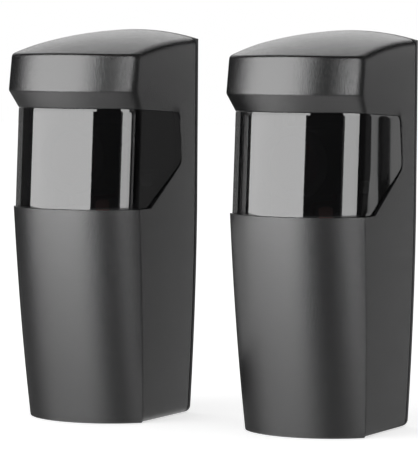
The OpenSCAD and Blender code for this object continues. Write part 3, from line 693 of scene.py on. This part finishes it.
smoked, shader, at = new_finish("smoked_window", IOR=2, Alpha=0.74, Specular_IOR_Level=0.68)
dust = noise(at, 0.9 * MM, 4, 0.7)
feed(
    shader,
    Base_Color=noise(at, 30 * MM).tint((0.003, 0.003, 0.0035), (0.005, 0.005, 0.0055)),
    Roughness=dust.between(0.02, 0.05),
)
for unit in unit_x:
    mesh = bmesh.new()
    window_skin(mesh, 0)
    window_skin(mesh, window_t)
    both_halves(mesh)
    close_walls(mesh, 0.2 * MM)
    window = finished(
        mesh, unit + "_window_shell", unit, unit + "_cover_body", unit + "_window",
    )
    window.data.materials.append(smoked)

# ---- Wall plates
# Each unit's flat plate is moulded in plain black plastic with a rim inside the cover,
# bosses for the board and the bracket, two slots for wall screws and a tab at the foot.
def softened(node, edge):
    """A copy of a CAD node with its triangles merged and its edges rounded, which stands
    for the node."""
    same_place = 0.001 * MM
    flat_angle = math.radians(0.4)
    sharp = math.radians(32)
    source = frame["nodes"][node]
    mesh = bmesh.new()
    mesh.from_mesh(source.data)
    bmesh.ops.remove_doubles(mesh, verts=mesh.verts, dist=same_place)
    bmesh.ops.dissolve_limit(
        mesh, angle_limit=flat_angle, verts=mesh.verts, edges=mesh.edges
    )
    piece = shaded(mesh, node + "_shape", sharp)
    if edge:
        soft = piece.modifiers.new("soft", "BEVEL")
        soft.width = edge
        soft.segments = 2
        soft.limit_method = "ANGLE"
        soft.angle_limit = sharp
        soft.harden_normals = True
    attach(piece, source.parent.name.removeprefix("body:"))
    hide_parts(node)
    return piece


plain, shader, at = new_finish("moulded_plate", IOR=1.5)
grain = noise(at, 0.7 * MM, 3, 0.6)
flow = noise(at, 26 * MM, 3, 0.6)
feed(
    shader,
    Base_Color=flow.tint((0.02, 0.0205, 0.022), (0.029, 0.0295, 0.031)),
    Roughness=(grain + flow).between(0.2, 0.34),
    Normal=grain.relief(0.05 * MM),
)
for unit in unit_x:
    softened(unit + "_back_plate", 0.2 * MM).data.materials.append(plain)

# ---- Gaskets
# A thin die-cut ring of black closed-cell foam between each plate and its cover. Its
# cut edge shows as the dark seam near the back.
foam, shader, at = new_finish("foam_gasket", IOR=1.45)
pores = at.node(
    "ShaderNodeTexVoronoi", {"feature": "F1"}, {"Vector": at, "Scale": 1 / (0.45 * MM)}
)
feed(
    shader,
    Base_Color=pores.tint((0.006, 0.006, 0.006), (0.016, 0.016, 0.017)),
    Roughness=pores.between(0.75, 0.95),
    Normal=pores.relief(0.12 * MM),
)
for unit in unit_x:
    softened(unit + "_gasket", 0).data.materials.append(foam)

# ---- Cable grommets
# A ring moulded in soft black rubber, pressed into the plate's round hole. The cable comes
# in through it.
rubber, shader, at = new_finish("grommet_rubber", IOR=1.5)
bloom = noise(at, 3 * MM, 4, 0.65)
feed(
    shader,
    Base_Color=bloom.tint((0.014, 0.014, 0.015), (0.032, 0.032, 0.033)),
    Roughness=bloom.between(0.5, 0.72),
    Normal=noise(at, 0.6 * MM, 2).relief(0.04 * MM),
)
for unit in unit_x:
    softened(unit + "_cable_grommet", 0.3 * MM).data.materials.append(rubber)

# ---- Screws and nuts
# Turned and pressed steel, zinc plated: the captive screw in each cover's foot with its
# nut, two screws of the bracket and four of the board.
def plated(name, dark, light):
    """Zinc-plated steel with fine turning marks."""
    finish, shader, at = new_finish(name, Metallic=1.0)
    cloud = noise(at, 1.6 * MM, 4, 0.6)
    marks = noise(at, 0.12 * MM, 2)
    feed(
        shader,
        Base_Color=cloud.tint(dark, light),
        Roughness=(cloud * 0.6 + marks * 0.4).between(0.22, 0.46),
        Normal=marks.relief(0.012 * MM),
    )
    return finish


screw_zinc = plated("screw_zinc", (0.4, 0.41, 0.43), (0.62, 0.63, 0.66))
nut_zinc = plated("nut_zinc", (0.46, 0.46, 0.45), (0.68, 0.68, 0.68))
for unit in unit_x:
    for kind in ("_cover_screw", "_bracket_screws", "_board_screws"):
        softened(unit + kind, 0.12 * MM).data.materials.append(screw_zinc)
    softened(unit + "_cover_nut", 0.15 * MM).data.materials.append(nut_zinc)

# ---- Brackets
# A moulded bracket in dark grey nylon, screwed to the plate's two bosses. Its round deck
# carries the turntable.
nylon, shader, at = new_finish("bracket_nylon", IOR=1.53)
grain = noise(at, 0.8 * MM, 3)
flow = noise(at, 9 * MM, 3, 0.6)
feed(
    shader,
    Base_Color=flow.tint((0.04, 0.041, 0.044), (0.058, 0.06, 0.064)),
    Roughness=grain.between(0.36, 0.5),
    Normal=grain.relief(0.04 * MM),
)
for unit in unit_x:
    softened(unit + "_optic_bracket", 0.25 * MM).data.materials.append(nylon)

# ---- Turntables
# A moulded disc with two arms that hold the barrel by its pins, turned by hand when the
# beam is aimed. Its hub goes through the deck and is held by a clip of spring steel.
acetal, shader, at = new_finish("turntable_acetal", IOR=1.48)
flow = noise(at, 7 * MM, 3, 0.6)
feed(
    shader,
    Base_Color=flow.tint((0.03, 0.031, 0.034), (0.046, 0.047, 0.051)),
    Roughness=flow.between(0.28, 0.42),
    Normal=noise(at, 0.5 * MM, 2).relief(0.02 * MM),
)
spring, shader, at = new_finish("spring_steel", Metallic=1.0)
heat = noise(at, 4 * MM, 2)
feed(
    shader,
    Base_Color=heat.tint((0.38, 0.37, 0.36), (0.56, 0.56, 0.58)),
    Roughness=noise(at, 0.3 * MM, 3).between(0.25, 0.42),
)
for unit in unit_x:
    softened(unit + "_turntable", 0.25 * MM).data.materials.append(acetal)
    softened(unit + "_turntable_clip", 0.1 * MM).data.materials.append(spring)

# ---- Optics
# Each barrel is moulded in matt black plastic, with a pressed lens in front held by a
# ring. The lens is clear acrylic tinted dark red.
matt, shader, at = new_finish("barrel_matt", IOR=1.5)
grain = noise(at, 0.4 * MM, 3, 0.6)
feed(
    shader,
    Base_Color=noise(at, 6 * MM).tint((0.012, 0.012, 0.013), (0.02, 0.02, 0.022)),
    Roughness=grain.between(0.45, 0.62),
    Normal=grain.relief(0.05 * MM),
)
satin, shader, at = new_finish("ring_satin", IOR=1.5)
grain = noise(at, 0.5 * MM, 2)
feed(
    shader,
    Base_Color=noise(at, 5 * MM).tint((0.03, 0.031, 0.033), (0.045, 0.046, 0.049)),
    Roughness=grain.between(0.26, 0.38),
    Normal=grain.relief(0.02 * MM),
)
acrylic, shader, at = new_finish(
    "lens_acrylic", IOR=1.49, Transmission_Weight=0.75, Coat_Weight=0.4, Coat_Roughness=0.02
)
flow = noise(at, 5 * MM, 2)
feed(
    shader,
    Base_Color=flow.tint((0.3, 0.03, 0.03), (0.42, 0.05, 0.045)),
    Roughness=noise(at, 1.5 * MM, 3).between(0.02, 0.06),
)
for unit in unit_x:
    softened(unit + "_barrel", 0.15 * MM).data.materials.append(matt)
    softened(unit + "_lens_ring", 0.25 * MM).data.materials.append(satin)
    softened(unit + "_lens", 0.1 * MM).data.materials.append(acrylic)

# ---- Emitter and photodiode
# Round diodes in cast epoxy: bluish and nearly clear for the emitter, black for the
# photodiode, which lets only infrared in.
for node, dark, light in (
    ("tx_emitter", (0.05, 0.06, 0.11), (0.09, 0.1, 0.17)),
    ("rx_photodiode", (0.01, 0.01, 0.012), (0.02, 0.02, 0.026)),
):
    epoxy, shader, at = new_finish(node + "_epoxy", IOR=1.55, Coat_Weight=0.5)
    flow = noise(at, 1.4 * MM, 2)
    feed(
        shader, Base_Color=flow.tint(dark, light), Roughness=flow.between(0.08, 0.18)
    )
    softened(node, 0.12 * MM).data.materials.append(epoxy)

# ---- Boards
# Glass-fibre laminate, 1.6 mm on the plate's bosses and 1.2 mm behind each barrel, with
# green solder mask over copper tracks and tinned pads.
track_pitch = 1.6 * MM
track_share = 0.32
track_field = 6 * MM
pad_pitch = 3.1 * MM
pad_share = 0.14
via_share = 0.05
laminate, shader, at = new_finish("board_laminate", IOR=1.52)
across, _, up = at.apart()
weave = noise(at, 0.6 * MM, 2)


def tracks(along):
    """Parallel copper tracks, spread along one direction."""
    return ((along * (1 / track_pitch)).maths("FRACT") - 0.5).size().below(track_share / 2)


level = noise(at, track_field, 0).above(0.5)
track = tracks(up) * level + tracks(across) * (1 - level)
dots = at.node(
    "ShaderNodeTexVoronoi", {"feature": "F1"},
    {"Vector": at, "Scale": 1 / pad_pitch, "Randomness": 0.85}
)
pad = dots.below(pad_share)
via = dots.below(via_share)
mask = track.mix(
    weave.tint((0.008, 0.075, 0.028), (0.012, 0.1, 0.038)),
    weave.tint((0.02, 0.17, 0.06), (0.026, 0.2, 0.072))
)
tinned = pad.mix(mask, weave.tint((0.5, 0.5, 0.48), (0.66, 0.66, 0.63)))
feed(
    shader,
    Base_Color=via.mix(tinned, weave.tint((0.015, 0.02, 0.015), (0.02, 0.03, 0.02))),
    Metallic=pad - via,
    Roughness=weave.between(0.24, 0.36),
    Normal=(track + pad).relief(0.035 * MM),
)
for unit in unit_x:
    softened(unit + "_main_board", 0).data.materials.append(laminate)
    softened(unit + "_optic_board", 0).data.materials.append(laminate)

# ---- Leads
# A round lead in dark red sleeving runs from the main board up through the turntable's
# hub and on to the board behind the barrel. Its plug is of the same colour.
sleeve, shader, at = new_finish("lead_sleeve", IOR=1.5)
wear = noise(at, 1.8 * MM, 3, 0.6)
feed(
    shader,
    Base_Color=wear.tint((0.16, 0.012, 0.012), (0.24, 0.022, 0.02)),
    Roughness=wear.between(0.34, 0.5),
    Normal=noise(at, 0.5 * MM, 2).relief(0.02 * MM),
)
for unit in unit_x:
    for kind in ("_optic_lead", "_head_lead"):
        softened(unit + kind, 0).data.materials.append(sleeve)

# ---- Terminal blocks
# A row of screw terminals moulded in green nylon, three on the transmitter and five on
# the receiver, each with a plated steel screw in its well.
green, shader, at = new_finish("terminal_nylon", IOR=1.53)
flow = noise(at, 5 * MM, 3)
feed(
    shader,
    Base_Color=flow.tint((0.012, 0.13, 0.045), (0.02, 0.18, 0.065)),
    Roughness=flow.between(0.3, 0.42),
    Normal=noise(at, 0.4 * MM, 2).relief(0.02 * MM),
)
terminal_zinc = plated("terminal_zinc", (0.5, 0.5, 0.51), (0.7, 0.7, 0.72))
for unit in unit_x:
    softened(unit + "_terminal_block", 0.15 * MM).data.materials.append(green)
    softened(unit + "_terminal_screws", 0.08 * MM).data.materials.append(terminal_zinc)

# ---- Capacitors
# An electrolytic capacitor: an aluminium can in a dark shrink sleeve with a pale stripe
# down one side. The bare end faces the front.
can_seat = 9.2 * MM
can_length = 11 * MM
can_rim = 0.35 * MM
stripe_across = 11.6 * MM
for unit in unit_x:
    can, shader, at = new_finish(unit + "_capacitor_can", IOR=1.5)
    across, forward, _ = at.apart()
    bare = forward.below(back_y - (can_seat + can_length - can_rim))
    stripe = (across - (unit_x[unit] + stripe_across)).above(0)
    cloud = noise(at, 2 * MM, 3)
    sleeve_colour = stripe.mix(
        cloud.tint((0.018, 0.022, 0.035), (0.028, 0.034, 0.05)),
        cloud.tint((0.4, 0.41, 0.42), (0.48, 0.49, 0.5))
    )
    feed(
        shader,
        Base_Color=bare.mix(sleeve_colour, cloud.tint((0.6, 0.6, 0.61), (0.74, 0.74, 0.75))),
        Metallic=bare * 1.0,
        Roughness=cloud.between(0.24, 0.36),
    )
    softened(unit + "_capacitor", 0.15 * MM).data.materials.append(can)

# ---- Chips
# A flat integrated circuit moulded in black epoxy. Its two rows of tinned legs are soldered
# to the board.
chip_z = 47.5 * MM
chip_half = 2.02 * MM
for node in ("tx_driver_chip", "rx_signal_chip"):
    epoxy, shader, at = new_finish(node + "_epoxy", IOR=1.55)
    leg = (at.apart()[2] - chip_z).size().above(chip_half)
    grit = noise(at, 0.25 * MM, 3)
    feed(
        shader,
        Base_Color=leg.mix(
            grit.tint((0.012, 0.012, 0.013), (0.02, 0.02, 0.021)),
            grit.tint((0.55, 0.55, 0.54), (0.68, 0.68, 0.66))
        ),
        Metallic=leg * 1.0,
        Roughness=grit.between(0.38, 0.55),
        Normal=grit.relief(0.02 * MM),
    )
    softened(node, 0.08 * MM).data.materials.append(epoxy)

# ---- Relay
# The receiver's alarm relay in a case moulded in blue plastic, sealed at the foot and
# soldered to the board by its pins.
blue, shader, at = new_finish("relay_case", IOR=1.53)
flow = noise(at, 6 * MM, 3)
feed(
    shader,
    Base_Color=flow.tint((0.012, 0.06, 0.24), (0.02, 0.085, 0.3)),
    Roughness=flow.between(0.24, 0.38),
    Normal=noise(at, 0.5 * MM, 2).relief(0.015 * MM),
)
softened("rx_relay", 0.3 * MM).data.materials.append(blue)

# ---- Trimmer
# The receiver's small square trimmer in blue plastic, with an ivory rotor that is turned
# with a screwdriver.
trimmer_blue, shader, at = new_finish("trimmer_case", IOR=1.53)
flow = noise(at, 3 * MM, 2)
feed(
    shader,
    Base_Color=flow.tint((0.014, 0.055, 0.27), (0.02, 0.075, 0.33)),
    Roughness=flow.between(0.26, 0.4),
)
ivory, shader, at = new_finish("ivory_nylon", IOR=1.53)
flow = noise(at, 2.5 * MM, 3)
feed(
    shader,
    Base_Color=flow.tint((0.62, 0.58, 0.48), (0.72, 0.69, 0.6)),
    Roughness=flow.between(0.34, 0.5),
)
softened("rx_trimmer", 0.2 * MM).data.materials.append(trimmer_blue)
softened("rx_trimmer_rotor", 0.1 * MM).data.materials.append(ivory)

# ---- Range pins and jumper
# The transmitter's three gold-plated pins in a black base, with an amber jumper cap on
# two of them that sets the range.
header_front = 11.72 * MM
header, shader, at = new_finish("header", IOR=1.53)
gold = at.apart()[1].below(back_y - header_front)
grit = noise(at, 0.5 * MM, 2)
feed(
    shader,
    Base_Color=gold.mix(
        grit.tint((0.014, 0.014, 0.015), (0.022, 0.022, 0.023)),
        grit.tint((0.72, 0.5, 0.2), (0.84, 0.62, 0.28))
    ),
    Metallic=gold * 1.0,
    Roughness=grit.between(0.22, 0.4),
)
amber, shader, at = new_finish("jumper_amber", IOR=1.53)
flow = noise(at, 2 * MM, 2)
feed(
    shader,
    Base_Color=flow.tint((0.5, 0.3, 0.02), (0.64, 0.42, 0.04)),
    Roughness=flow.between(0.26, 0.4),
)
softened("tx_range_pins", 0.08 * MM).data.materials.append(header)
softened("tx_range_jumper", 0.15 * MM).data.materials.append(amber)

# ---- Status lamps
# A light-emitting diode in red epoxy on each deck, behind the foot of the window. It is
# lit by a painted glow: a faint emission in rows that stands in for the light it catches.
glow_pitch = 1.3 * MM
# The emission strength is a painted glow. No lamp lights the diode this way.
red, shader, at = new_finish(
    "lamp_epoxy", IOR=1.55, Coat_Weight=0.4, Emission_Strength=0.14
)
# Bands of painted glow: the emission runs brighter and darker in rows up the diode.
rows = (at.apart()[2] * (math.tau / glow_pitch)).maths("SINE") * 0.5 + 0.5
flow = noise(at, 1.6 * MM, 2)
feed(
    shader,
    Base_Color=flow.tint((0.26, 0.012, 0.012), (0.36, 0.02, 0.018)),
    Emission_Color=rows.tint((0.12, 0.06, 0.055), (0.8, 0.5, 0.46)),
    Roughness=flow.between(0.1, 0.2),
)
for unit in unit_x:
    softened(unit + "_status_led", 0.15 * MM).data.materials.append(red)

# ---- Tamper switches
# A small black switch on each board with an ivory plunger, which the cover's post holds
# in. It opens when the cover comes off.
switch, shader, at = new_finish("switch_case", IOR=1.53)
grit = noise(at, 0.6 * MM, 2)
feed(
    shader,
    Base_Color=noise(at, 4 * MM).tint((0.014, 0.014, 0.015), (0.024, 0.024, 0.026)),
    Roughness=grit.between(0.34, 0.48),
    Normal=grit.relief(0.02 * MM),
)
for unit in unit_x:
    softened(unit + "_tamper_switch", 0.15 * MM).data.materials.append(switch)
    softened(unit + "_tamper_plunger", 0.2 * MM).data.materials.append(ivory)

# ---- Studio
# A pale floor in a room of dark flags with a white backdrop. Reflections see a diffuser in
# front, a strip on the right, a lamp behind the roofs and panels below; a soft key lamp
# lights what is matt.
floor_half = 3
pair_middle_z = 65 * MM
floor_drop = 0.02 * MM
floor_mesh = bmesh.new()
bmesh.ops.create_grid(floor_mesh, x_segments=1, y_segments=1, size=floor_half)
floor_data = bpy.data.meshes.new("floor")
floor_mesh.to_mesh(floor_data)
floor_mesh.free()
floor = bpy.data.objects.new("floor", floor_data)
floor.location = (0, 0, -floor_drop)
bpy.context.scene.collection.objects.link(floor)
paper = bpy.data.materials.new("floor")
paper.use_nodes = True
tree = paper.node_tree
viewed = Link(tree, tree.nodes.new("ShaderNodeLightPath").outputs["Is Camera Ray"])
lit = viewed.node("ShaderNodeBsdfDiffuse", {}, {"Color": (0.8, 0.8, 0.8, 1)})
glow = viewed.node("ShaderNodeEmission", {}, {"Color": (1, 1, 1, 1), "Strength": viewed * 0.6})
both = viewed.node("ShaderNodeAddShader", {}, {0: lit, 1: glow})
tree.links.new(both.socket, tree.nodes["Material Output"].inputs["Surface"])
floor.data.materials.append(paper)
floor.visible_glossy = False
floor.visible_shadow = False


def lamp(name, place, facing, width, height, radiance, sees="glossy"):
    """A flat diffuser, seen only by glossy or only by diffuse rays."""
    data = bpy.data.lights.new(name, "AREA")
    data.shape = "RECTANGLE"
    data.size = width
    data.size_y = height
    data.energy = radiance * math.pi * width * height
    made = bpy.data.objects.new(name, data)
    made.location = place
    made.rotation_mode = "QUATERNION"
    made.rotation_quaternion = Vector(facing).to_track_quat("-Z", "Y")
    made.visible_camera = False
    made.visible_glossy = sees == "glossy"
    made.visible_diffuse = sees == "diffuse"
    bpy.context.scene.collection.objects.link(made)


def towards(azimuth, elevation, distance):
    """A place seen from the middle of the pair in a direction."""
    a, e = math.radians(azimuth), math.radians(elevation)
    way = Vector((math.sin(a) * math.cos(e), -math.cos(a) * math.cos(e), math.sin(e)))
    return Vector((0, 0, pair_middle_z)) + way * distance


# The wide diffuser: the right edge, foot, head and radiance of each of its panels.
diffuser_left = -1.7
diffuser_y = -0.35
for name, right, low, high, radiance in (
    ("diffuser_top", 0.14, 0.165, 0.6, 2.9),
    ("diffuser_middle", 0.105, -0.02, 0.165, 3.3),
    ("diffuser_low", 0.11, -0.2, -0.02, 0.95),
    ("diffuser_foot", 0.11, -0.7, -0.2, 0.36),
):
    place = ((right + diffuser_left) / 2, diffuser_y, (low + high) / 2)
    lamp(name, place, (0, 1, 0), right - diffuser_left, high - low, radiance)

# The strip: the foot, head, width and radiance of each panel.
strip_x = 3.45
strip_y = -0.75
strip_facing = (-1, 0.18, 0)
for name, low, high, width, radiance in (
    ("side_stripe_top", 0.6, 2.3, 1.9, 2.9),
    ("side_stripe", -0.3, 0.6, 1.6, 2.7),
    ("side_stripe_low", -1.9, -0.3, 1.6, 0.6),
):
    place = (strip_x, strip_y, (low + high) / 2)
    lamp(name, place, strip_facing, width, high - low, radiance)

# The panels below: the middle, width and radiance of each.
under_y = 0.07
under_z = -0.5
under_depth = 0.9
for name, middle, width, radiance in (
    ("under_left", -0.62, 0.34, 0.65),
    ("under_middle", -0.26, 0.38, 0.9),
    ("under_right", 0.3, 0.74, 0.4),
):
    lamp(name, (middle, under_y, under_z), (0, 0, 1), width, under_depth, radiance)

# Lamps aimed at the pair: the azimuth, elevation and distance, the size and the radiance.
for name, azimuth, elevation, distance, width, height, radiance, sees in (
    ("backlight", -152, 26, 1.2, 1, 0.74, 0.58, "glossy"),
    ("key", -30, 40, 1.5, 1, 1, 1.6, "diffuse"),
):
    place = towards(azimuth, elevation, distance)
    lamp(name, place, -towards(azimuth, elevation, 1), width, height, radiance, sees)

# A small lamp in the gap, which the inner side of the right unit reflects.
lamp("between", (-0.0145, -0.016, 0.042), (1, 0, 0), 0.05, 0.048, 0.4)


def reflector(name, strength):
    """The material of a card: an even dim light."""
    made = bpy.data.materials.new(name)
    made.use_nodes = True
    tree = made.node_tree
    dim = tree.nodes.new("ShaderNodeEmission")
    dim.inputs["Color"].default_value = (1, 1, 1, 1)
    dim.inputs["Strength"].default_value = strength
    tree.links.new(dim.outputs[0], tree.nodes["Material Output"].inputs["Surface"])
    return made


def staged(mesh, name, *materials):
    """A card or flag that only reflections see."""
    data = bpy.data.meshes.new(name)
    mesh.to_mesh(data)
    mesh.free()
    made = bpy.data.objects.new(name, data)
    bpy.context.scene.collection.objects.link(made)
    for material in materials:
        made.data.materials.append(material)
    made.visible_camera = False
    made.visible_diffuse = False
    made.visible_shadow = False
    made.visible_transmission = False


# A round room of flags, lighter below, with the backdrop in its rear wall.
room_r = 4
flags_foot = -0.4
backdrop_slope = 1.4
backdrop_foot = -3.2
backdrop_top_left = 2
backdrop_top_right = 0.7
flags_mesh = bmesh.new()
bmesh.ops.create_uvsphere(flags_mesh, u_segments=72, v_segments=36, radius=room_r)
for face in flags_mesh.faces:
    middle = face.calc_center_median()
    top = backdrop_top_left if middle.x < 0 else backdrop_top_right
    behind = middle.y > backdrop_slope * abs(middle.x) and backdrop_foot < middle.z < top
    face.material_index = 2 if behind else int(middle.z < flags_foot)
staged(
    flags_mesh, "flags", reflector("flags", 0.02), reflector("flags_below", 0.13),
    reflector("backdrop", 0.6)
)

# Two cards behind the units, each with its left and right edges and its strength.
card_y = 0.12
card_z = 0.03
card_h = 0.19
for name, left, right, strength in (
    ("card_between", 0.024, 0.085, 0.1), ("card_right", 0.1183, 0.45, 0.02),
):
    card_mesh = bmesh.new()
    bmesh.ops.create_grid(card_mesh, x_segments=1, y_segments=1, size=0.5)
    bmesh.ops.transform(
        card_mesh, verts=card_mesh.verts,
        matrix=Matrix.Translation(((left + right) / 2, card_y, card_z))
        @ Matrix.Rotation(math.pi / 2, 4, "X") @ Matrix.Diagonal((right - left, card_h, 1, 1))
    )
    staged(card_mesh, name, reflector(name, strength))

# The white ground is seen by the camera, in reflections and through clear pieces; other
# rays find it dimmer.
dim_ground = 0.55
world = bpy.data.worlds.new("world")
bpy.context.scene.world = world
world.use_nodes = True
tree = world.node_tree
path = tree.nodes.new("ShaderNodeLightPath")
seen = Link(tree, path.outputs["Is Camera Ray"])
seen = seen.maths("MAXIMUM", Link(tree, path.outputs["Is Glossy Ray"]))
seen = seen.maths("MAXIMUM", Link(tree, path.outputs["Is Transmission Ray"]))
ground = tree.nodes["Background"]
ground.inputs["Color"].default_value = (1, 1, 1, 1)
tree.links.new(seen.between(dim_ground, 1).socket, ground.inputs["Strength"])
world.cycles.sampling_method = "NONE"

bpy.context.scene.view_settings.view_transform = "Standard"
